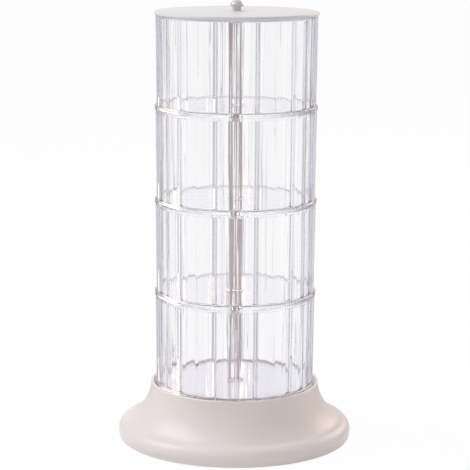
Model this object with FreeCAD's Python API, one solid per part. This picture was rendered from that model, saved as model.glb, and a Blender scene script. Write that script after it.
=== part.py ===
import FreeCAD, Part
import math
import os

# A revolving storage tower: four clear cups threaded on one rod, on a flared base.
# Millimetres. The tower axis is Z and the surface it stands on is z = 0.

# Clear cups, one moulding used four times
tier_names = ["bottom_tier", "second_tier", "third_tier", "top_tier"]
tier_pitch = 75.6
floor_radius = 65.6
floor_thickness = 3.3
floor_edge_bevel = 0.5
wall_inset = 1.4
wall_draft = 0.8
wall_thickness = 1.4
mouth_wall = 1.0
mouth_depth = 2.4
rib_count = 12
rib_width = 2.8
rib_height = 1.9
ridge_height = 0.6
hub_diameter = 10.9
hub_root = 1.2
spigot_height = 2.0
spigot_width = 1.6
nest_clearance = 0.3

# Lid, rod and finial knob
lid_overhang = 0.3
lid_thickness = 2.3
lid_edge_bevel = 0.5
rod_diameter = 5.0
rod_clearance = 0.1
thread_clearance = 0.04
thread_length = 5.2
rod_tip_bevel = 0.6
knob_washer_diameter = 8.4
knob_washer_thickness = 0.6
knob_neck_diameter = 6.8
knob_neck_height = 3.0
knob_dome_diameter = 10.6
knob_dome_height = 5.2
knob_dome_edge = 1.1
knob_edge_bevel = 0.4

# Turning platter under the tower
platter_thickness = 2.6
platter_pad_clearance = 0.3
platter_step_clearance = 0.4
platter_edge_inset = 0.4
platter_hub_diameter = 14.0
platter_race_rib = 2.0
race_seat_height = 2.2
collar_diameter = 10.0
collar_height = 3.2

# Ball ring between platter and base
ball_count = 6
ball_diameter = 6.0
ball_clearance = 0.05
ball_circle_radius = 44.0
race_width = 12.0
race_thickness = 2.8
race_groove_depth = 1.8
race_recess = 0.6
race_clearance = 0.1
cage_width = 9.6
cage_thickness = 1.6
cage_ball_clearance = 0.2

# Bush and the parts that keep the platter down
bush_wall = 2.0
bush_length = 10.6
bush_flange_width = 3.0
bush_flange_thickness = 1.2
bush_clearance = 0.05
seat_clearance = 0.02
axial_play = 0.4
retaining_washer_diameter = 24.0
retaining_washer_thickness = 1.2
lock_nut_across_flats = 8.0
lock_nut_height = 4.0
rod_tail = 1.2

# Flared base
base_radius = 95.5
foot_tuck = 0.7
shell_lift = 0.8
lip_radius = 9.4
lip_height = 5.6
base_wall = 2.6
cove_depth = 3.5
neck_height = 2.8
rim_gap = 0.7
rim_wall = 2.3
rim_cover = 2.6
rim_bevel = 0.6
deck_height = 29.0
deck_thickness = 3.0
bush_boss_wall = 4.0

# Underside
cover_recess = 0.4
cover_thickness = 3.0
cover_clearance = 0.4
screw_count = 4
screw_circle_radius = 60.0
screw_diameter = 3.0
screw_length = 9.0
screw_head_diameter = 5.6
screw_head_height = 1.5
screw_head_clearance = 0.4
screw_boss_diameter = 8.0
pad_count = 6
pad_margin = 6.0
pad_diameter = 12.0
pad_recess = 0.6
pad_edge_bevel = 0.5

# Radii that more than one piece uses
rod_radius = rod_diameter / 2
rod_bore = rod_radius + rod_clearance
thread_bore = rod_radius + thread_clearance
hub_radius = hub_diameter / 2
wall_foot_radius = floor_radius - wall_inset
flute_radius = wall_foot_radius - wall_thickness
rib_root_radius = flute_radius - ridge_height
mouth_radius = wall_foot_radius - mouth_wall
spigot_outer = mouth_radius - nest_clearance
spigot_inner = spigot_outer - spigot_width
race_inner = ball_circle_radius - race_width / 2
race_outer = ball_circle_radius + race_width / 2
platter_hub_radius = platter_hub_diameter / 2
bush_bore = platter_hub_radius + bush_clearance
bush_radius = bush_bore + bush_wall
bush_seat = bush_radius + seat_clearance
rim_inner = floor_radius + rim_gap
neck_radius = rim_inner + rim_wall
base_foot_radius = base_radius - foot_tuck
cavity_radius = base_foot_radius - base_wall
cover_radius = cavity_radius - cover_clearance
pad_circle_radius = cover_radius - pad_margin - pad_diameter / 2
screw_radius = screw_diameter / 2

# Heights, stacked upwards from the surface
cover_bottom = shell_lift + cover_recess
cover_top = cover_bottom + cover_thickness
deck_bottom = deck_height - deck_thickness
bush_bottom = deck_height - bush_length
lower_race_bottom = deck_height - race_recess
lower_race_top = lower_race_bottom + race_thickness
ball_rise = (ball_diameter / 2 + ball_clearance) * math.sqrt(2) - race_groove_depth
ball_height = lower_race_top + ball_rise
upper_race_bottom = ball_height + ball_rise
upper_race_top = upper_race_bottom + race_thickness
plate_bottom = upper_race_top + race_seat_height
platter_top = plate_bottom + platter_thickness
platter_hub_end = bush_bottom - axial_play
rim_top = platter_top + rim_cover
lid_bottom = platter_top + len(tier_names) * tier_pitch
lid_top = lid_bottom + lid_thickness
knob_bottom = lid_top + knob_washer_thickness
rod_top = knob_bottom + thread_length
nut_top = platter_hub_end - retaining_washer_thickness
rod_bottom = nut_top - lock_nut_height - rod_tail


def point(radius, height, turn=0.0):
    return FreeCAD.Vector(radius * math.cos(turn), radius * math.sin(turn), height)


def arc(start, middle, end):
    return Part.Arc(start, middle, end).toShape()


# A closed outline in the radius and height plane, turned about the tower axis.
# Each corner is (radius, height); a corner of four numbers is reached by an arc
# through its first two.
def turned(corners):
    here = point(*corners[0])
    edges = []
    for corner in corners[1:] + corners[:1]:
        there = point(*corner[-2:])
        if len(corner) == 4:
            edges.append(arc(here, point(*corner[:2]), there))
        else:
            edges.append(Part.makeLine(here, there))
        here = there
    face = Part.Face(Part.Wire(edges))
    return face.revolve(FreeCAD.Vector(), FreeCAD.Vector(0, 0, 1), 360)


def drum(radius, low, high):
    return Part.makeCylinder(radius, high - low, point(0, low))


def ring(inner, outer, low, high):
    return turned([(inner, low), (outer, low), (outer, high), (inner, high)])


# The same solid at equal turns on a circle about the tower axis
def around(solid, count, circle_radius):
    copies = []
    for i in range(count):
        copy = solid.copy()
        copy.translate(point(circle_radius, 0, math.tau * i / count))
        copies.append(copy)
    return copies


# Underside and edge of a disc that nests in the mouth below it, from its bore outwards
def nesting_disc(bore, radius, thickness, bevel):
    return [
        (bore, 0), (spigot_inner, 0), (spigot_inner, -spigot_height),
        (spigot_outer, -spigot_height), (spigot_outer, 0), (radius - bevel, 0),
        (radius, bevel), (radius, thickness - bevel), (radius - bevel, thickness),
    ]


# Inside outline of a cup: half-round ribs, and between each two of them
# a pair of shallow flutes that meet in a low ridge
def fluted_outline(height):
    step = math.tau / rib_count
    rib_half = rib_width / 2 / rib_root_radius
    flute_turn = (step / 2 - rib_half) / 2
    edges = []
    for i in range(rib_count):
        ridge = i * step
        rib = ridge + step / 2
        rib_start = point(rib_root_radius, height, rib - rib_half)
        rib_end = point(rib_root_radius, height, rib + rib_half)
        edges += [
            arc(point(rib_root_radius, height, ridge),
                point(flute_radius, height, ridge + flute_turn), rib_start),
            arc(rib_start, point(rib_root_radius - rib_height, height, rib), rib_end),
            arc(rib_end, point(flute_radius, height, ridge + step - flute_turn),
                point(rib_root_radius, height, ridge + step)),
        ]
    return Part.Wire(edges)


def clear_cup():
    rib_top = tier_pitch - mouth_depth
    outline = nesting_disc(rod_bore, floor_radius, floor_thickness, floor_edge_bevel) + [
        (wall_foot_radius, floor_thickness),
        (wall_foot_radius + wall_draft, tier_pitch),
        (mouth_radius, tier_pitch), (mouth_radius, rib_top),
        (hub_radius, rib_top), (hub_radius, tier_pitch), (rod_bore, tier_pitch),
    ]
    inside = Part.Face(fluted_outline(floor_thickness)).extrude(point(0, rib_top - floor_thickness))
    cup = turned(outline).cut(inside.cut(drum(hub_radius, floor_thickness, rib_top)))
    root = turned([
        (hub_radius, floor_thickness), (hub_radius + hub_root, floor_thickness),
        (hub_radius, floor_thickness + hub_root),
    ])
    return cup.fuse(root).removeSplitter()


def lid():
    outline = nesting_disc(rod_bore, floor_radius + lid_overhang, lid_thickness, lid_edge_bevel)
    return turned(outline + [(rod_bore, lid_thickness)])


# Mushroom finial with a blind threaded bore
def knob():
    neck = knob_neck_diameter / 2
    dome = knob_dome_diameter / 2
    dome_bottom = knob_bottom + knob_neck_height
    shoulder = dome_bottom + knob_dome_edge
    top = dome_bottom + knob_dome_height
    crown = top - shoulder
    crown_radius = (dome ** 2 + crown ** 2) / 2 / crown
    half_turn = math.atan2(dome, crown_radius - crown) / 2
    bore_end = rod_top + axial_play
    return turned([
        (0, bore_end), (thread_bore, bore_end), (thread_bore, knob_bottom),
        (neck, knob_bottom), (neck, dome_bottom), (dome - knob_edge_bevel, dome_bottom),
        (dome, dome_bottom + knob_edge_bevel), (dome, shoulder),
        (crown_radius * math.sin(half_turn), top - crown_radius * (1 - math.cos(half_turn)), 0, top),
    ])


def knob_washer():
    return ring(rod_bore, knob_washer_diameter / 2, lid_top, knob_bottom)


def spindle_rod():
    tip = rod_radius - rod_tip_bevel
    return turned([
        (0, rod_bottom), (tip, rod_bottom), (rod_radius, rod_bottom + rod_tip_bevel),
        (rod_radius, rod_top - rod_tip_bevel), (tip, rod_top), (0, rod_top),
    ])


def rod_collar():
    return ring(rod_radius + seat_clearance, collar_diameter / 2, platter_top - collar_height, platter_top)


# Flat pad inside the lowest spigot, a step below it, the race seat and the long hub
def platter():
    pad_radius = spigot_inner - platter_pad_clearance
    step_top = platter_top - spigot_height - platter_step_clearance
    step_bottom = step_top - platter_thickness
    edge = floor_radius - platter_edge_inset
    seat_inner = race_inner - race_clearance
    seat_outer = race_outer + race_clearance
    lip_bottom = upper_race_top - race_recess
    collar_seat = platter_top - collar_height
    collar_bore = collar_diameter / 2 + seat_clearance
    return turned([
        (rod_bore, platter_hub_end), (platter_hub_radius, platter_hub_end),
        (platter_hub_radius, plate_bottom),
        (seat_inner - platter_race_rib, plate_bottom), (seat_inner - platter_race_rib, lip_bottom),
        (seat_inner, lip_bottom), (seat_inner, upper_race_top),
        (seat_outer, upper_race_top), (seat_outer, lip_bottom),
        (seat_outer + platter_race_rib, lip_bottom), (seat_outer + platter_race_rib, plate_bottom),
        (pad_radius - platter_thickness, plate_bottom), (pad_radius - platter_thickness, step_bottom),
        (edge, step_bottom), (edge, step_top), (pad_radius, step_top), (pad_radius, platter_top),
        (collar_bore, platter_top), (collar_bore, collar_seat), (rod_bore, collar_seat),
    ])


# A flat ring from its back to its face, with a right-angled groove for the balls in the face
def race(back, face):
    groove = race_groove_depth
    return turned([
        (race_inner, back), (race_outer, back), (race_outer, face),
        (ball_circle_radius + groove, face), (ball_circle_radius, face + math.copysign(groove, back - face)),
        (ball_circle_radius - groove, face), (race_inner, face),
    ])


def ball_cage():
    half = cage_thickness / 2
    blank = ring(ball_circle_radius - cage_width / 2, ball_circle_radius + cage_width / 2,
                 ball_height - half, ball_height + half)
    pocket = drum(ball_diameter / 2 + cage_ball_clearance, ball_height - half, ball_height + half)
    return blank.cut(Part.Compound(around(pocket, ball_count, ball_circle_radius)))


def bearing_balls():
    ball = Part.makeSphere(ball_diameter / 2, point(0, ball_height))
    return Part.Compound(around(ball, ball_count, ball_circle_radius))


def deck_bush():
    flange = bush_radius + bush_flange_width
    flange_top = deck_height + bush_flange_thickness
    return turned([
        (bush_bore, bush_bottom), (bush_radius, bush_bottom), (bush_radius, deck_height),
        (flange, deck_height), (flange, flange_top), (bush_bore, flange_top),
    ])


def retaining_washer():
    return ring(rod_bore, retaining_washer_diameter / 2, nut_top, platter_hub_end)


def lock_nut():
    corner = lock_nut_across_flats / math.sqrt(3)
    low = nut_top - lock_nut_height
    corners = [point(corner, low, math.tau * i / 6) for i in range(6)]
    prism = Part.Face(Part.makePolygon(corners + corners[:1])).extrude(point(0, lock_nut_height))
    return prism.cut(drum(rod_radius + seat_clearance, low, nut_top))


# Outer form: tucked foot, round lip, crease, hollow cove and upright neck
def base_outline():
    lip_centre = base_radius - lip_radius
    crease = (lip_centre, lip_height + lip_radius)
    cove_top = (neck_radius, rim_top - neck_height)
    run, rise = crease[0] - cove_top[0], cove_top[1] - crease[1]
    chord = math.hypot(run, rise)
    cove = (cove_top[0] + run / 2 - cove_depth * rise / chord,
            cove_top[1] - rise / 2 - cove_depth * run / chord)
    bend = math.sqrt(0.5)
    return [
        (0, shell_lift), (base_foot_radius, shell_lift),
        (base_radius, lip_height),
        (lip_centre + lip_radius * bend, lip_height + lip_radius * bend) + crease,
        cove + cove_top,
        (neck_radius, rim_top - rim_bevel), (neck_radius - rim_bevel, rim_top), (0, rim_top),
    ]


# Space under the deck, one wall inside the outer form
def base_cavity():
    lip_centre = base_radius - lip_radius
    roof = lip_height + lip_radius - base_wall
    shoulder = lip_height + (lip_radius - base_wall) / 2
    slope_top = neck_radius - base_wall + cove_depth
    return turned([
        (0, 0), (cavity_radius, 0), (cavity_radius, shoulder), (lip_centre - base_wall, roof),
        (slope_top, deck_bottom), (0, deck_bottom),
    ])


def base_shell():
    shell = turned(base_outline()).cut([base_cavity(), drum(rim_inner, deck_height, rim_top)])
    bush_boss = drum(bush_seat + bush_boss_wall, bush_bottom, deck_bottom)
    screw_boss = drum(screw_boss_diameter / 2, cover_top, deck_bottom)
    shell = shell.fuse([bush_boss] + around(screw_boss, screw_count, screw_circle_radius))
    pilot = drum(screw_radius + thread_clearance, cover_top, screw_tip() + axial_play)
    race_seat = ring(race_inner - race_clearance, race_outer + race_clearance, lower_race_bottom, deck_height)
    cuts = [drum(bush_seat, bush_bottom, deck_height), race_seat]
    return shell.cut(cuts + around(pilot, screw_count, screw_circle_radius)).removeSplitter()


def screw_tip():
    return screw_head_base() + screw_length


# The heads sit in sunk seats, a little inside the cover's face
def screw_head_base():
    return cover_bottom + screw_head_clearance / 2 + screw_head_height


def cover_screws():
    low = screw_head_base() - screw_head_height
    head = drum(screw_head_diameter / 2, low, screw_head_base())
    screw = head.fuse(drum(screw_radius, low, screw_tip())).removeSplitter()
    return Part.Compound(around(screw, screw_count, screw_circle_radius))


def bottom_cover():
    plate = drum(cover_radius, cover_bottom, cover_top)
    hole = drum(screw_radius + screw_head_clearance / 2, cover_bottom, cover_top)
    seat = drum((screw_head_diameter + screw_head_clearance) / 2, cover_bottom, screw_head_base())
    socket = drum(pad_diameter / 2 + seat_clearance, cover_bottom, cover_bottom + pad_recess)
    screws = around(hole.fuse(seat), screw_count, screw_circle_radius)
    return plate.cut(screws + around(socket, pad_count, pad_circle_radius))


def foot_pads():
    radius = pad_diameter / 2
    pad = turned([
        (0, 0), (radius - pad_edge_bevel, 0), (radius, pad_edge_bevel),
        (radius, cover_bottom + pad_recess), (0, cover_bottom + pad_recess),
    ])
    return Part.Compound(around(pad, pad_count, pad_circle_radius))


pieces = {
    "base_shell": base_shell(),
    "bottom_cover": bottom_cover(),
    "cover_screws": cover_screws(),
    "foot_pads": foot_pads(),
    "deck_bush": deck_bush(),
    "lower_race": race(lower_race_bottom, lower_race_top),
    "ball_cage": ball_cage(),
    "bearing_balls": bearing_balls(),
    "upper_race": race(upper_race_top, upper_race_bottom),
    "platter": platter(),
    "spindle_rod": spindle_rod(),
    "rod_collar": rod_collar(),
    "retaining_washer": retaining_washer(),
    "lock_nut": lock_nut(),
    "knob_washer": knob_washer(),
    "knob": knob(),
}

cup = clear_cup()
for i, name in enumerate(tier_names):
    pieces[name] = cup.copy()
    pieces[name].translate(point(0, platter_top + i * tier_pitch))
pieces["lid"] = lid()
pieces["lid"].translate(point(0, lid_bottom))

os.makedirs("parts", exist_ok=True)
for name, shape in pieces.items():
    shape.exportStep("parts/" + name + ".step")
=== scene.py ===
import bpy
import bmesh
import math
from mathutils import Matrix, Vector


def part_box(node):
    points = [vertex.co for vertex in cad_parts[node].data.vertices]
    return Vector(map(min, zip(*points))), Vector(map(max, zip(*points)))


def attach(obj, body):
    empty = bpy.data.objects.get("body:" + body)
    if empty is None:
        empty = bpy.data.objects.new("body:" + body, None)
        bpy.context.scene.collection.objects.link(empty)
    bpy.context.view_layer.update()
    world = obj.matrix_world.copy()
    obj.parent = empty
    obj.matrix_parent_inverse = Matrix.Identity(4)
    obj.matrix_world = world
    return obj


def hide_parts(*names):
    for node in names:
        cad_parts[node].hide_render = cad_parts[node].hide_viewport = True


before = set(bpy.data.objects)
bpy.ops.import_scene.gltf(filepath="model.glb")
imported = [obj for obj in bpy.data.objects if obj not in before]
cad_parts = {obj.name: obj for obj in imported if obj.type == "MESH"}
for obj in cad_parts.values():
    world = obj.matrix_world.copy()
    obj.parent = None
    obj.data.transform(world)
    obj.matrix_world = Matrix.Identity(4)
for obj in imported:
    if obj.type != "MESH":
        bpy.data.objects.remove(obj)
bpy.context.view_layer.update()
mm = 0.001
poleRadius = 0.05  # a ring this small, in mm, is closed on the axis
mergeGap = 1e-6  # points this close, in metres, become one
print("frame loaded:", len(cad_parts), "nodes")


def pickPiece(piece):
    bpy.ops.object.select_all(action="DESELECT")
    piece.select_set(True)
    bpy.context.view_layer.objects.active = piece


def arcRings(centre, radius, startDeg, endDeg, steps):
    # points of a round stretch in the radius and height plane, in mm
    rings = []
    for i in range(steps + 1):
        turn = math.radians(startDeg + (endDeg - startDeg) * i / steps)
        rings.append((centre[0] + radius * math.cos(turn), centre[1] + radius * math.sin(turn)))
    return rings


def offsetRings(radius, height, offsets):
    # points set out from a corner, in mm
    return [(radius + out, height + up) for out, up in offsets]


def turnPiece(name, segments, rings, lift=0.0, pole=False):
    # a circle drawn out ring by ring, like work on a lathe; rings are (radius, height) in mm
    bpy.ops.object.select_all(action="DESELECT")
    lastRadius, lastHeight = rings[0]
    bpy.ops.mesh.primitive_circle_add(vertices=segments, radius=lastRadius * mm,
                                      location=(0, 0, (lastHeight + lift) * mm))
    piece = bpy.context.object
    piece.name = name
    piece.data.name = name
    bpy.ops.object.mode_set(mode="EDIT")
    bpy.ops.mesh.select_all(action="SELECT")
    for radius, height in rings[1:]:
        bpy.ops.mesh.extrude_edges_move(
            TRANSFORM_OT_translate={"value": (0, 0, (height - lastHeight) * mm)})
        grow = radius / lastRadius
        bpy.ops.transform.resize(value=(grow, grow, 1), center_override=(0, 0, (height + lift) * mm))
        lastRadius, lastHeight = radius, height
    if pole:
        bpy.ops.mesh.merge(type="CENTER")  # the last ring closes on the axis
    else:
        bpy.ops.mesh.select_all(action="SELECT")
        bpy.ops.mesh.remove_doubles(threshold=mergeGap)  # the last ring meets the first
    bpy.ops.mesh.select_all(action="SELECT")
    bpy.ops.mesh.normals_make_consistent(inside=False)
    bpy.ops.object.mode_set(mode="OBJECT")
    bpy.ops.object.transform_apply(location=True, rotation=True, scale=True)
    return piece


def closeEnd(piece):
    # fills the small ring that is still open on the axis
    pickPiece(piece)
    bpy.ops.object.mode_set(mode="EDIT")
    bpy.ops.mesh.select_all(action="DESELECT")
    bpy.ops.mesh.select_non_manifold()
    bpy.ops.mesh.edge_face_add()
    bpy.ops.mesh.select_all(action="SELECT")
    bpy.ops.mesh.normals_make_consistent(inside=False)
    bpy.ops.object.mode_set(mode="OBJECT")


def softShade(piece, degrees):
    pickPiece(piece)
    bpy.ops.object.shade_smooth_by_angle(angle=math.radians(degrees))


def standFor(piece, node, body, material):
    piece.data.materials.clear()
    piece.data.materials.append(material)
    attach(piece, body)
    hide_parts(node)


def addNode(nodes, kind, **settings):
    node = nodes.new("ShaderNode" + kind)
    for label, value in settings.items():
        setattr(node, label, value)
    return node


def makeGroup(name, inputs, outputs):
    group = bpy.data.node_groups.new(name, "ShaderNodeTree")
    for label, kind, value in inputs:
        socket = group.interface.new_socket(name=label, in_out="INPUT", socket_type=kind)
        socket.default_value = value
    for label, kind in outputs:
        group.interface.new_socket(name=label, in_out="OUTPUT", socket_type=kind)
    inNode = group.nodes.new("NodeGroupInput")
    outNode = group.nodes.new("NodeGroupOutput")
    return group, inNode, outNode


noiseDetail = {"patch": 3.0, "grain": 2.0, "streak": 2.0}


def mouldedSkinGroup():
    # slow patches of tone, a fine grain and a little change in gloss, as on moulded styrene
    group, groupIn, groupOut = makeGroup(
        "mouldedSkin",
        [("Tone", "NodeSocketColor", (0.8, 0.8, 0.8, 1)), ("Shade", "NodeSocketColor", (0.7, 0.7, 0.7, 1)),
         ("Patch Scale", "NodeSocketFloat", 14.0), ("Grain Scale", "NodeSocketFloat", 1400.0),
         ("Rough Low", "NodeSocketFloat", 0.3), ("Rough High", "NodeSocketFloat", 0.45)],
        [("Color", "NodeSocketColor"), ("Roughness", "NodeSocketFloat"), ("Height", "NodeSocketFloat")])
    nodes, links = group.nodes, group.links
    coord = addNode(nodes, "TexCoord")
    patch = addNode(nodes, "TexNoise")
    patch.inputs["Detail"].default_value = noiseDetail["patch"]
    grain = addNode(nodes, "TexNoise")
    grain.inputs["Detail"].default_value = noiseDetail["grain"]
    blend = addNode(nodes, "Mix", data_type="RGBA")
    gloss = addNode(nodes, "MapRange")
    links.new(coord.outputs["Object"], patch.inputs["Vector"])
    links.new(coord.outputs["Object"], grain.inputs["Vector"])
    links.new(groupIn.outputs["Patch Scale"], patch.inputs["Scale"])
    links.new(groupIn.outputs["Grain Scale"], grain.inputs["Scale"])
    links.new(patch.outputs["Fac"], blend.inputs["Factor"])
    links.new(groupIn.outputs["Tone"], blend.inputs["A"])
    links.new(groupIn.outputs["Shade"], blend.inputs["B"])
    links.new(patch.outputs["Fac"], gloss.inputs["Value"])
    links.new(groupIn.outputs["Rough Low"], gloss.inputs["To Min"])
    links.new(groupIn.outputs["Rough High"], gloss.inputs["To Max"])
    links.new(blend.outputs["Result"], groupOut.inputs["Color"])
    links.new(gloss.outputs["Result"], groupOut.inputs["Roughness"])
    links.new(grain.outputs["Fac"], groupOut.inputs["Height"])
    return group


def drawnStreakGroup():
    # long streaks along Z, from drawing a bar or from plastic flowing up a mould
    group, groupIn, groupOut = makeGroup(
        "drawnStreak",
        [("Across", "NodeSocketFloat", 300.0), ("Along", "NodeSocketFloat", 4.0)],
        [("Streak", "NodeSocketFloat")])
    nodes, links = group.nodes, group.links
    coord = addNode(nodes, "TexCoord")
    spread = addNode(nodes, "CombineXYZ")
    stretch = addNode(nodes, "VectorMath", operation="MULTIPLY")
    noise = addNode(nodes, "TexNoise")
    noise.inputs["Scale"].default_value = 1.0
    noise.inputs["Detail"].default_value = noiseDetail["streak"]
    links.new(groupIn.outputs["Across"], spread.inputs["X"])
    links.new(groupIn.outputs["Across"], spread.inputs["Y"])
    links.new(groupIn.outputs["Along"], spread.inputs["Z"])
    links.new(coord.outputs["Object"], stretch.inputs[0])
    links.new(spread.outputs["Vector"], stretch.inputs[1])
    links.new(stretch.outputs["Vector"], noise.inputs["Vector"])
    links.new(noise.outputs["Fac"], groupOut.inputs["Streak"])
    return group


cardShape = {"gain": 4.0, "sharpness": 1.6}


def cardPatternGroup():
    # 1 towards four upright grey cards between the sides of the studio, 0 straight ahead
    group, groupIn, groupOut = makeGroup(
        "cardPattern", [("Vector", "NodeSocketVector", (0, 0, 0))], [("Mask", "NodeSocketFloat")])
    nodes, links = group.nodes, group.links
    split = addNode(nodes, "SeparateXYZ")
    across, wide, deep, square, scale = (addNode(nodes, "Math", operation="MULTIPLY") for i in range(5))
    total = addNode(nodes, "Math", operation="ADD")
    share = addNode(nodes, "Math", operation="DIVIDE")
    mask = addNode(nodes, "Math", operation="POWER")
    scale.inputs[1].default_value = cardShape["gain"]
    mask.inputs[1].default_value = cardShape["sharpness"]
    links.new(groupIn.outputs["Vector"], split.inputs[0])
    for node, first, second in ((across, "X", "Y"), (wide, "X", "X"), (deep, "Y", "Y")):
        links.new(split.outputs[first], node.inputs[0])
        links.new(split.outputs[second], node.inputs[1])
    links.new(wide.outputs[0], total.inputs[0])
    links.new(deep.outputs[0], total.inputs[1])
    links.new(across.outputs[0], share.inputs[0])
    links.new(total.outputs[0], share.inputs[1])
    links.new(share.outputs[0], square.inputs[0])
    links.new(share.outputs[0], square.inputs[1])
    links.new(square.outputs[0], scale.inputs[0])
    links.new(scale.outputs[0], mask.inputs[0])
    links.new(mask.outputs[0], groupOut.inputs["Mask"])
    return group


mouldedSkin = mouldedSkinGroup()
drawnStreak = drawnStreakGroup()
cardPattern = cardPatternGroup()


def newMaterial(name):
    material = bpy.data.materials.new(name)
    material.use_nodes = True
    tree = material.node_tree
    return material, tree.nodes, tree.links, tree.nodes["Principled BSDF"]


def placeGroup(nodes, group, values):
    node = addNode(nodes, "Group", node_tree=group)
    for label, value in values.items():
        node.inputs[label].default_value = value
    return node


def addBump(nodes, links, height, shader, strength, distance):
    bump = addNode(nodes, "Bump")
    bump.inputs["Strength"].default_value = strength
    bump.inputs["Distance"].default_value = distance
    links.new(height, bump.inputs["Height"])
    links.new(bump.outputs["Normal"], shader.inputs["Normal"])
    return bump


mouldedIor = 1.5


def mouldedMaterial(name, look):
    material, nodes, links, shader = newMaterial(name)
    skin = placeGroup(nodes, mouldedSkin, look["skin"])
    links.new(skin.outputs["Color"], shader.inputs["Base Color"])
    links.new(skin.outputs["Roughness"], shader.inputs["Roughness"])
    addBump(nodes, links, skin.outputs["Height"], shader, look["bump"], look["depth"])
    shader.inputs["IOR"].default_value = mouldedIor
    shader.inputs["Metallic"].default_value = look.get("metal", 0.0)
    return material


def steelMaterial(name, look):
    material, nodes, links, shader = newMaterial(name)
    streak = placeGroup(nodes, drawnStreak, {"Across": look["across"], "Along": look["along"]})
    tint = addNode(nodes, "Mix", data_type="RGBA")
    tint.inputs["A"].default_value = look["dark"]
    tint.inputs["B"].default_value = look["light"]
    gloss = addNode(nodes, "MapRange")
    gloss.inputs["To Min"].default_value = look["roughLow"]
    gloss.inputs["To Max"].default_value = look["roughHigh"]
    links.new(streak.outputs["Streak"], tint.inputs["Factor"])
    links.new(streak.outputs["Streak"], gloss.inputs["Value"])
    links.new(tint.outputs["Result"], shader.inputs["Base Color"])
    links.new(gloss.outputs["Result"], shader.inputs["Roughness"])
    shader.inputs["Metallic"].default_value = look["metal"]
    addBump(nodes, links, streak.outputs["Streak"], shader, look["bump"], look["depth"])
    return material


clearLook = {
    # edge is a painted shade: the lavender grey that the clear walls are painted where they turn edge-on to
    # the view
    "face": (0.996, 0.996, 1.0, 1), "edge": (0.73, 0.72, 0.85, 1), "paintedShadePower": 3.0, "paintedShadeBlend": 0.5,
    "ior": 1.45, "rough": 0.02,
    "flowAcross": 140.0, "flowAlong": 3.0, "flowStrength": 0.5, "floorFlow": 0.03, "flowDepth": 0.002,
}


def clearStyrene():
    material, nodes, links, shader = newMaterial("clearStyrene")
    flow = placeGroup(nodes, drawnStreak,
                      {"Across": clearLook["flowAcross"], "Along": clearLook["flowAlong"]})
    # painted shade: the walls are mixed towards the edge colour where they turn edge-on to the view, in
    # place of the dark lines that bent light draws on clear plastic
    lean = addNode(nodes, "LayerWeight")
    lean.inputs["Blend"].default_value = clearLook["paintedShadeBlend"]
    paintedEdgeShade = addNode(nodes, "Math", operation="POWER")
    paintedEdgeShade.inputs[1].default_value = clearLook["paintedShadePower"]
    tint = addNode(nodes, "Mix", data_type="RGBA")
    tint.inputs["A"].default_value = clearLook["face"]
    tint.inputs["B"].default_value = clearLook["edge"]
    links.new(lean.outputs["Facing"], paintedEdgeShade.inputs[0])
    links.new(paintedEdgeShade.outputs[0], tint.inputs["Factor"])
    links.new(tint.outputs["Result"], shader.inputs["Base Color"])
    shader.inputs["Transmission Weight"].default_value = 1.0
    shader.inputs["Roughness"].default_value = clearLook["rough"]
    shader.inputs["IOR"].default_value = clearLook["ior"]
    shape = addNode(nodes, "NewGeometry")
    split = addNode(nodes, "SeparateXYZ")
    upright = addNode(nodes, "Math", operation="ABSOLUTE")
    wave = addNode(nodes, "MapRange")  # walls ripple more than floors
    wave.inputs["To Min"].default_value = clearLook["flowStrength"]
    wave.inputs["To Max"].default_value = clearLook["floorFlow"]
    links.new(shape.outputs["True Normal"], split.inputs[0])
    links.new(split.outputs["Z"], upright.inputs[0])
    links.new(upright.outputs[0], wave.inputs["Value"])
    bump = addBump(nodes, links, flow.outputs["Streak"], shader, clearLook["flowStrength"],
                   clearLook["flowDepth"])
    links.new(wave.outputs["Result"], bump.inputs["Strength"])
    return material


mouldedLooks = {
    "baseWhite": {
        "skin": {"Tone": (0.86, 0.785, 0.76, 1), "Shade": (0.83, 0.75, 0.725, 1), "Patch Scale": 12.0,
                 "Grain Scale": 1500.0, "Rough Low": 0.30, "Rough High": 0.42},
        "bump": 0.04, "depth": 0.0002},
    "lidWhite": {
        "skin": {"Tone": (0.76, 0.755, 0.76, 1), "Shade": (0.73, 0.72, 0.73, 1), "Patch Scale": 16.0,
                 "Grain Scale": 1500.0, "Rough Low": 0.32, "Rough High": 0.45},
        "bump": 0.04, "depth": 0.0002},
    "innerWhite": {
        "skin": {"Tone": (0.86, 0.85, 0.87, 1), "Shade": (0.83, 0.82, 0.85, 1), "Patch Scale": 18.0,
                 "Grain Scale": 1200.0, "Rough Low": 0.4, "Rough High": 0.55},
        "bump": 0.05, "depth": 0.0002},
    "acetal": {
        "skin": {"Tone": (0.82, 0.81, 0.77, 1), "Shade": (0.76, 0.75, 0.71, 1), "Patch Scale": 60.0,
                 "Grain Scale": 2000.0, "Rough Low": 0.4, "Rough High": 0.55},
        "bump": 0.05, "depth": 0.0002},
    "padRubber": {
        "skin": {"Tone": (0.30, 0.30, 0.30, 1), "Shade": (0.22, 0.22, 0.22, 1), "Patch Scale": 90.0,
                 "Grain Scale": 2500.0, "Rough Low": 0.7, "Rough High": 0.9},
        "bump": 0.2, "depth": 0.0003},
    "knobMetal": {
        "skin": {"Tone": (0.67, 0.66, 0.61, 1), "Shade": (0.56, 0.55, 0.51, 1), "Patch Scale": 300.0,
                 "Grain Scale": 3500.0, "Rough Low": 0.36, "Rough High": 0.5},
        "bump": 0.12, "depth": 0.0001, "metal": 0.35},
}
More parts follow.
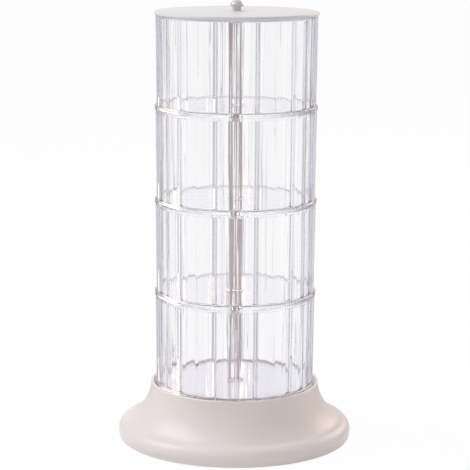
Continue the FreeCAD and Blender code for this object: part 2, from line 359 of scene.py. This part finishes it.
steelLooks = {
    "rodSteel": {
        "dark": (0.40, 0.32, 0.30, 1), "light": (0.68, 0.59, 0.57, 1), "across": 600.0, "along": 14.0,
        "roughLow": 0.25, "roughHigh": 0.45, "metal": 0.4, "bump": 0.05, "depth": 0.0002},
    "brightSteel": {
        "dark": (0.50, 0.49, 0.48, 1), "light": (0.66, 0.65, 0.64, 1), "across": 500.0, "along": 60.0,
        "roughLow": 0.22, "roughHigh": 0.38, "metal": 1.0, "bump": 0.05, "depth": 0.0002},
}
finishes = {name: mouldedMaterial(name, look) for name, look in mouldedLooks.items()}
finishes.update({name: steelMaterial(name, look) for name, look in steelLooks.items()})
finishes["clearStyrene"] = clearStyrene()
print("finishes made:", len(finishes))


cup = {
    "floorRadius": 65.6, "floorThickness": 3.3, "edgeRound": 0.5, "edgeSteps": 4,
    "wallFoot": 64.2, "wallMouth": 65.0, "height": 75.6, "mouthBevel": [(0, -0.3), (-0.25, 0)],
    "mouthRadius": 63.2, "mouthDepth": 2.4,
    "fluteRadius": 62.8, "ridgeHeight": 0.6, "ribHeight": 1.9, "ribWidth": 4.4, "ribCount": 12,
    "spigotInner": 61.3, "spigotOuter": 62.9, "spigotHeight": 2.0,
    "hubRadius": 5.45, "hubBore": 4.3, "bore": 2.6,
    "airGap": 0.06,  # keeps clear faces a hair off what they stand on
    "outerRoot": [(0.6, 0), (0.3, 0), (0.08, 0.1), (0, 0.4)],  # close rings hold the shading flat
    "rootTop": 1.0,
    "innerRoot": [(0, 1.8), (0, 1.2), (-0.35, 0.35), (-1.2, 0), (-4.5, 0)],
    "hubRoot": [(1.7, 0), (1.2, 0), (0.35, 0.35), (0, 1.2), (0, 1.8)],
    "boreRoot": [(0, 0.4), (-0.4, 0)],
    "fluteReach": (1.3, 0.1), "ribMargin": 1.08, "slack": 0.01,
    "segmentsPerRib": 60, "segmentsOnRib": 16, "smoothAngle": 38,
}


def cupRings():
    edge, edgeRound, steps = cup["floorRadius"], cup["edgeRound"], cup["edgeSteps"]
    floorTop, gap, foot = cup["floorThickness"], cup["airGap"], cup["wallFoot"]
    hub, bore, spigotFoot = cup["hubRadius"], cup["bore"], -cup["spigotHeight"]
    mouth = cup["height"] - gap
    ledge = mouth - cup["mouthDepth"]
    rings = [(bore, gap), (cup["spigotInner"], gap), (cup["spigotInner"], spigotFoot),
             (cup["spigotOuter"], spigotFoot), (cup["spigotOuter"], gap)]
    rings += arcRings((edge - edgeRound, edgeRound + gap), edgeRound, -90, 0, steps)
    rings += arcRings((edge - edgeRound, floorTop - edgeRound), edgeRound, 0, 90, steps)
    draft = (cup["wallMouth"] - foot) / (mouth - floorTop)
    rings += offsetRings(foot, floorTop, cup["outerRoot"])
    rings += [(foot + draft * cup["rootTop"], floorTop + cup["rootTop"])]
    rings += offsetRings(cup["wallMouth"], mouth, cup["mouthBevel"])
    rings += [(cup["mouthRadius"], mouth), (cup["mouthRadius"], ledge), (cup["fluteRadius"], ledge)]
    rings += offsetRings(cup["fluteRadius"], floorTop, cup["innerRoot"])
    rings += offsetRings(hub, floorTop, cup["hubRoot"]) + [(hub, mouth), (cup["hubBore"], mouth)]
    rings += offsetRings(cup["hubBore"], floorTop, cup["boreRoot"]) + [(bore, floorTop)]
    return rings + rings[:1]


def fluteDrop(offset, halfStep):
    # how far the inner wall stands in from the bottom of a flute, at an arc length from a rib's middle
    halfRib = cup["ribWidth"] / 2
    if offset < halfRib:
        return cup["ridgeHeight"] + cup["ribHeight"] * math.cos(math.pi / 2 * offset / halfRib) ** 2
    across = (offset - halfRib) / (halfStep - halfRib)
    return cup["ridgeHeight"] * (2 * across - 1) ** 2


def shapeFlutes(piece):
    # gathers the segments at the ribs, then draws the inner wall in to its ribs and ridges
    step = math.tau / cup["ribCount"]
    inner = cup["fluteRadius"]
    halfStep = step / 2 * inner
    halfRib = cup["ribWidth"] / 2 * cup["ribMargin"] / inner
    ribShare = cup["segmentsOnRib"] / cup["segmentsPerRib"]
    low, high = inner - cup["fluteReach"][0], inner + cup["fluteReach"][1]
    bottom = cup["floorThickness"] - cup["slack"]
    ledge = cup["height"] - cup["mouthDepth"] + cup["slack"]
    cupMesh = bmesh.new()
    cupMesh.from_mesh(piece.data)
    for point in cupMesh.verts:
        radius = math.hypot(point.co.x, point.co.y)
        turn = math.atan2(point.co.y, point.co.x) % math.tau
        sector = math.floor(turn / step)
        lean = (turn / step - sector - 0.5) * 2  # -1 and 1 at the ridges, 0 on the rib
        side = math.copysign(1, lean)
        lean = abs(lean)
        if lean < ribShare:
            away = lean / ribShare * halfRib
        else:
            away = halfRib + (lean - ribShare) / (1 - ribShare) * (step / 2 - halfRib)
        turn = (sector + 0.5) * step + side * away
        if low < radius / mm < high and bottom < point.co.z / mm < ledge:
            radius -= fluteDrop(min(away * inner, halfStep), halfStep) * mm
        point.co.x, point.co.y = radius * math.cos(turn), radius * math.sin(turn)
    cupMesh.to_mesh(piece.data)
    cupMesh.free()


def buildCups():
    names = ["bottom_tier", "second_tier", "third_tier", "top_tier"]
    pattern = turnPiece("cupPattern", cup["ribCount"] * cup["segmentsPerRib"], cupRings())
    shapeFlutes(pattern)
    softShade(pattern, cup["smoothAngle"])
    for name in names:
        piece = pattern.copy()
        piece.data = pattern.data.copy()
        piece.name = name + "Clear"
        bpy.context.scene.collection.objects.link(piece)
        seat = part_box(name)[0][2] + cup["spigotHeight"] * mm
        piece.data.transform(Matrix.Translation((0, 0, seat)))
        standFor(piece, name, name + "_cup", finishes["clearStyrene"])
    bpy.data.objects.remove(pattern)
    print("clear cups:", len(names))


lidShape = {
    "radius": 65.9, "thickness": 2.27, "edgeRound": 1.4, "edgeSteps": 5, "crown": 0.12,
    "underBevel": [(-0.25, 0), (0, 0.25)], "boreBevel": [(0.4, 0), (0, -0.3)],
    "crownShare": 0.4, "crownRing": 0.6, "flatRing": 0.2, "segments": 256, "smoothAngle": 40,
}


def buildLid():
    radius, edge, top = lidShape["radius"], lidShape["edgeRound"], lidShape["thickness"]
    bore, crown, spigotFoot = cup["bore"], lidShape["crown"], -cup["spigotHeight"]
    rings = [(bore, 0), (cup["spigotInner"], 0), (cup["spigotInner"], spigotFoot),
             (cup["spigotOuter"], spigotFoot), (cup["spigotOuter"], 0)]
    rings += offsetRings(radius, 0, lidShape["underBevel"])
    rings += arcRings((radius - edge, top - crown - edge), edge, 0, 90, lidShape["edgeSteps"])
    rings += [(radius * lidShape["crownRing"], top - crown * lidShape["crownShare"]),
              (radius * lidShape["flatRing"], top)]
    rings += offsetRings(bore, top, lidShape["boreBevel"])
    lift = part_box("lid")[0][2] / mm + cup["spigotHeight"]
    piece = turnPiece("lidPlate", lidShape["segments"], rings + rings[:1], lift)
    softShade(piece, lidShape["smoothAngle"])
    standFor(piece, "lid", "lid_plate", finishes["lidWhite"])


knobShape = {
    "neck": 3.4, "neckHeight": 3.0, "dome": 5.3, "height": 8.2, "edgeRound": 0.55, "edgeSteps": 4,
    "edgeBand": 0.5, "bore": 2.54, "boreDepth": 5.6, "boreBevel": [(0, 0.3), (0.3, 0)],
    "neckFoot": [(-0.2, 0), (0, 0.2)], "neckTop": [(0, -0.35), (0.35, 0)],
    "domeStep": 6, "domeRings": 15, "segments": 64, "smoothAngle": 40,
}


def buildKnob():
    dome, edge, top = knobShape["dome"], knobShape["edgeRound"], knobShape["height"]
    neck, under = knobShape["neck"], knobShape["neckHeight"]
    bore, depth = knobShape["bore"], knobShape["boreDepth"]
    rings = [(poleRadius, depth), (bore, depth)] + offsetRings(bore, 0, knobShape["boreBevel"])
    rings += offsetRings(neck, 0, knobShape["neckFoot"]) + offsetRings(neck, under, knobShape["neckTop"])
    rings += arcRings((dome - edge, under + edge), edge, -90, 0, knobShape["edgeSteps"])
    shoulder = under + edge + knobShape["edgeBand"]
    for i in range(knobShape["domeRings"]):
        rise = math.radians(knobShape["domeStep"] * i)
        rings.append((dome * math.cos(rise), shoulder + (top - shoulder) * math.sin(rise)))
    rings += [(poleRadius, top)]
    piece = turnPiece("knobMushroom", knobShape["segments"], rings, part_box("knob")[0][2] / mm, pole=True)
    closeEnd(piece)
    softShade(piece, knobShape["smoothAngle"])
    standFor(piece, "knob", "knob_nut", finishes["knobMetal"])


rodShape = {
    "radius": 2.5, "tip": 0.6, "threadPitch": 0.8, "threadDepth": 0.22, "threadLength": 9.0,
    "segments": 64, "smoothAngle": 40,
}


def buildRod():
    low, high = (corner[2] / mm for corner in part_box("spindle_rod"))
    radius, tip, pitch = rodShape["radius"], rodShape["tip"], rodShape["threadPitch"]
    rings = [(poleRadius, low), (radius - tip, low), (radius, low + tip)]
    threadStart = high - rodShape["threadLength"]
    turns = int((rodShape["threadLength"] - tip) / pitch)
    for i in range(turns):  # thread as close grooves, out of sight under the knob
        crest = threadStart + i * pitch
        rings += [(radius, crest), (radius - rodShape["threadDepth"], crest + pitch / 2)]
    rings += [(radius, threadStart + turns * pitch), (radius - tip, high), (poleRadius, high)]
    piece = turnPiece("rodBar", rodShape["segments"], rings, pole=True)
    closeEnd(piece)
    softShade(piece, rodShape["smoothAngle"])
    standFor(piece, "spindle_rod", "turntable", finishes["rodSteel"])


baseShape = {
    "radius": 95.5, "foot": 94.8, "footLift": 0.8, "footRound": 0.6, "footSteps": 4,
    "lipRadius": 9.4, "lipHeight": 5.6, "lipEnd": 80, "lipSteps": 14,
    "coveDepth": 3.5, "coveSteps": 24, "creaseSteps": 4,
    "creaseReach": 2,  # rings of the cove that the soft bend takes up
    "neck": 68.6, "neckHeight": 2.8, "rimInner": 66.3, "rimRound": 0.8, "rimSteps": 5,
    "innerRound": 0.5, "innerSteps": 4,
    "deckHeight": 29.0, "deckThickness": 3.0, "bushSeat": 9.07, "bushBoss": 13.07, "bushDepth": 18.4,
    "cavity": 92.2, "cavityShoulder": 9.0, "cavityRoof": 12.4, "cavitySlope": 83.5, "cavityTop": 69.5,
    "segments": 320, "smoothAngle": 28,
}


def coveRings(start, end, depth, steps):
    # an arc between two points that hollows in by depth
    run, fall = end[0] - start[0], start[1] - end[1]
    chord = math.hypot(run, fall)
    radius = chord * chord / 8 / depth + depth / 2
    middle = ((start[0] + end[0]) / 2, (start[1] + end[1]) / 2)
    out = (-fall / chord, -run / chord)  # from the hollow towards the arc's centre
    centre = (middle[0] + out[0] * (radius - depth), middle[1] + out[1] * (radius - depth))
    first = math.degrees(math.atan2(start[1] - centre[1], start[0] - centre[0])) % 360
    last = math.degrees(math.atan2(end[1] - centre[1], end[0] - centre[0])) % 360
    return arcRings(centre, radius, first, last, steps)


def creaseRings(start, corner, end, steps):
    # a soft bend from start to end that leans towards a corner
    rings = []
    points = (start, corner, end)
    for i in range(1, steps + 1):
        along = i / steps
        weights = ((1 - along) ** 2, 2 * along * (1 - along), along * along)
        rings.append(tuple(sum(weight * point[axis] for weight, point in zip(weights, points))
                           for axis in (0, 1)))
    return rings


def buildBase():
    shape = baseShape
    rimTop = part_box("base_shell")[1][2] / mm
    footRound, rimRound, innerRound = shape["footRound"], shape["rimRound"], shape["innerRound"]
    lipCentre = (shape["radius"] - shape["lipRadius"], shape["lipHeight"])
    crease = (lipCentre[0], shape["lipHeight"] + shape["lipRadius"])
    coveTop = (shape["neck"], rimTop - shape["neckHeight"])
    deck = shape["deckHeight"]
    deckUnder = deck - shape["deckThickness"]
    rings = [(shape["cavity"], shape["footLift"])]
    rings += arcRings((shape["foot"] - footRound, shape["footLift"] + footRound), footRound, -90, 0,
                      shape["footSteps"])
    rings += arcRings(lipCentre, shape["lipRadius"], 0, shape["lipEnd"], shape["lipSteps"])
    hollow = coveRings(crease, coveTop, shape["coveDepth"], shape["coveSteps"])
    bendEnd = shape["creaseReach"]
    rings += creaseRings(rings[-1], crease, hollow[bendEnd], shape["creaseSteps"]) + hollow[bendEnd + 1:]
    rings += arcRings((shape["neck"] - rimRound, rimTop - rimRound), rimRound, 0, 90, shape["rimSteps"])
    rings += arcRings((shape["rimInner"] + innerRound, rimTop - innerRound), innerRound, 90, 180,
                      shape["innerSteps"])
    rings += [(shape["rimInner"], deck), (shape["bushSeat"], deck), (shape["bushSeat"], shape["bushDepth"]),
              (shape["bushBoss"], shape["bushDepth"]), (shape["bushBoss"], deckUnder),
              (shape["cavityTop"], deckUnder), (shape["cavitySlope"], shape["cavityRoof"]),
              (shape["cavity"], shape["cavityShoulder"])]
    piece = turnPiece("baseFlare", shape["segments"], rings + rings[:1])
    softShade(piece, shape["smoothAngle"])
    standFor(piece, "base_shell", "base", finishes["baseWhite"])


buildCups()
buildLid()
buildKnob()
buildRod()
buildBase()
print("turned pieces done")


nodeFinish = {  # pieces that keep their own shape
    "bottom_cover": "baseWhite", "platter": "innerWhite", "deck_bush": "acetal", "ball_cage": "acetal",
    "knob_washer": "acetal", "foot_pads": "padRubber", "cover_screws": "brightSteel",
    "lower_race": "brightSteel", "upper_race": "brightSteel", "bearing_balls": "brightSteel",
    "rod_collar": "brightSteel", "retaining_washer": "brightSteel", "lock_nut": "brightSteel",
}
for name, finish in nodeFinish.items():
    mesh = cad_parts[name].data
    mesh.materials.clear()
    mesh.materials.append(finishes[finish])
print("plain pieces finished:", len(nodeFinish))


stageLook = {
    "floorSize": 16.0, "floorTone": (0.9, 0.9, 0.9, 1), "floorRough": 0.9, "floorGlow": 0.95,
    "fill": 0.55, "white": (1, 1, 1, 1), "cardTone": (0.40, 0.38, 0.46, 1), "aim": (0, 0, 0.12),
    "lights": {
        "keyLight": {"place": (-1.3, 0.1, 1.6), "power": 18.8, "size": 1.2, "tone": (0.96, 0.965, 1)},
        "rimLight": {"place": (1.2, 1.3, 0.9), "power": 10.5, "size": 0.9, "tone": (1, 0.78, 0.60)},
    },
    "clearBounces": 40, "glossBounces": 16,
}


def seenRays(nodes, links):
    # 1 for rays that look at the background, and a tone that turns grey towards the cards for bent rays
    path = addNode(nodes, "LightPath")
    bent = addNode(nodes, "Math", operation="MAXIMUM")
    seen = addNode(nodes, "Math", operation="MAXIMUM")
    links.new(path.outputs["Is Glossy Ray"], bent.inputs[0])
    links.new(path.outputs["Is Transmission Ray"], bent.inputs[1])
    links.new(path.outputs["Is Camera Ray"], seen.inputs[0])
    links.new(bent.outputs[0], seen.inputs[1])
    coord = addNode(nodes, "TexCoord")
    card = placeGroup(nodes, cardPattern, {})
    links.new(coord.outputs["Object"], card.inputs["Vector"])
    amount = addNode(nodes, "Math", operation="MULTIPLY")
    links.new(card.outputs["Mask"], amount.inputs[0])
    links.new(bent.outputs[0], amount.inputs[1])
    tone = addNode(nodes, "Mix", data_type="RGBA")
    tone.inputs["A"].default_value = stageLook["white"]
    tone.inputs["B"].default_value = stageLook["cardTone"]
    links.new(amount.outputs[0], tone.inputs["Factor"])
    return seen.outputs[0], tone.outputs["Result"]


def buildFloor():
    bpy.ops.object.select_all(action="DESELECT")
    bpy.ops.mesh.primitive_plane_add(size=stageLook["floorSize"])
    floor = bpy.context.object
    floor.name = "studioFloor"
    material, nodes, links, shader = newMaterial("studioFloor")
    shader.inputs["Base Color"].default_value = stageLook["floorTone"]
    shader.inputs["Roughness"].default_value = stageLook["floorRough"]
    glow = addNode(nodes, "Emission")
    mix = addNode(nodes, "MixShader")
    share = addNode(nodes, "Math", operation="MULTIPLY")
    share.inputs[1].default_value = stageLook["floorGlow"]
    seen, tone = seenRays(nodes, links)
    links.new(seen, share.inputs[0])
    links.new(tone, glow.inputs["Color"])
    links.new(share.outputs[0], mix.inputs["Fac"])
    links.new(shader.outputs["BSDF"], mix.inputs[1])
    links.new(glow.outputs["Emission"], mix.inputs[2])
    links.new(mix.outputs["Shader"], nodes["Material Output"].inputs["Surface"])
    floor.data.materials.append(material)


def buildLight():
    world = bpy.data.worlds.new("studioWorld")
    bpy.context.scene.world = world
    world.use_nodes = True
    nodes, links = world.node_tree.nodes, world.node_tree.links
    level = addNode(nodes, "MapRange")
    level.inputs["To Min"].default_value = stageLook["fill"]
    seen, tone = seenRays(nodes, links)
    links.new(seen, level.inputs["Value"])
    links.new(level.outputs["Result"], nodes["Background"].inputs["Strength"])
    links.new(tone, nodes["Background"].inputs["Color"])
    for name, look in stageLook["lights"].items():
        bpy.ops.object.light_add(type="AREA", location=look["place"])
        lamp = bpy.context.object
        lamp.name = name
        lamp.data.energy = look["power"]
        lamp.data.size = look["size"]
        lamp.data.color = look["tone"]
        lamp.rotation_euler = (Vector(stageLook["aim"]) - lamp.location).to_track_quat("-Z", "Y").to_euler()


cameraPlace = {
    "focal": 1806.3, "imageWidth": 470,  # both in pixels of the photograph
    "sensor": 36.0, "near": 0.01, "place": (-0.0004, -1.441, 0.4469), "pitch": 0.1916, "roll": 0.0063,
}


def buildCamera():
    lens = bpy.data.cameras.new("photoCamera")
    camera = bpy.data.objects.new("photoCamera", lens)
    bpy.context.scene.collection.objects.link(camera)
    lens.sensor_width = cameraPlace["sensor"]
    lens.lens = cameraPlace["focal"] / cameraPlace["imageWidth"] * cameraPlace["sensor"]
    lens.clip_start = cameraPlace["near"]
    camera.location = cameraPlace["place"]
    tilt = Matrix.Rotation(math.pi / 2 - cameraPlace["pitch"], 4, "X")
    camera.rotation_euler = (tilt @ Matrix.Rotation(cameraPlace["roll"], 4, "Z")).to_euler()
    bpy.context.scene.camera = camera


buildFloor()
buildLight()
buildCamera()
bpy.context.scene.view_settings.view_transform = "Standard"
cycles = bpy.context.scene.cycles
cycles.max_bounces = stageLook["clearBounces"]  # light crosses many clear walls
cycles.transmission_bounces = stageLook["clearBounces"]
cycles.glossy_bounces = stageLook["glossBounces"]
cycles.blur_glossy = 0.0  # clear walls stay clear for light that reaches the platter
print("stage ready")
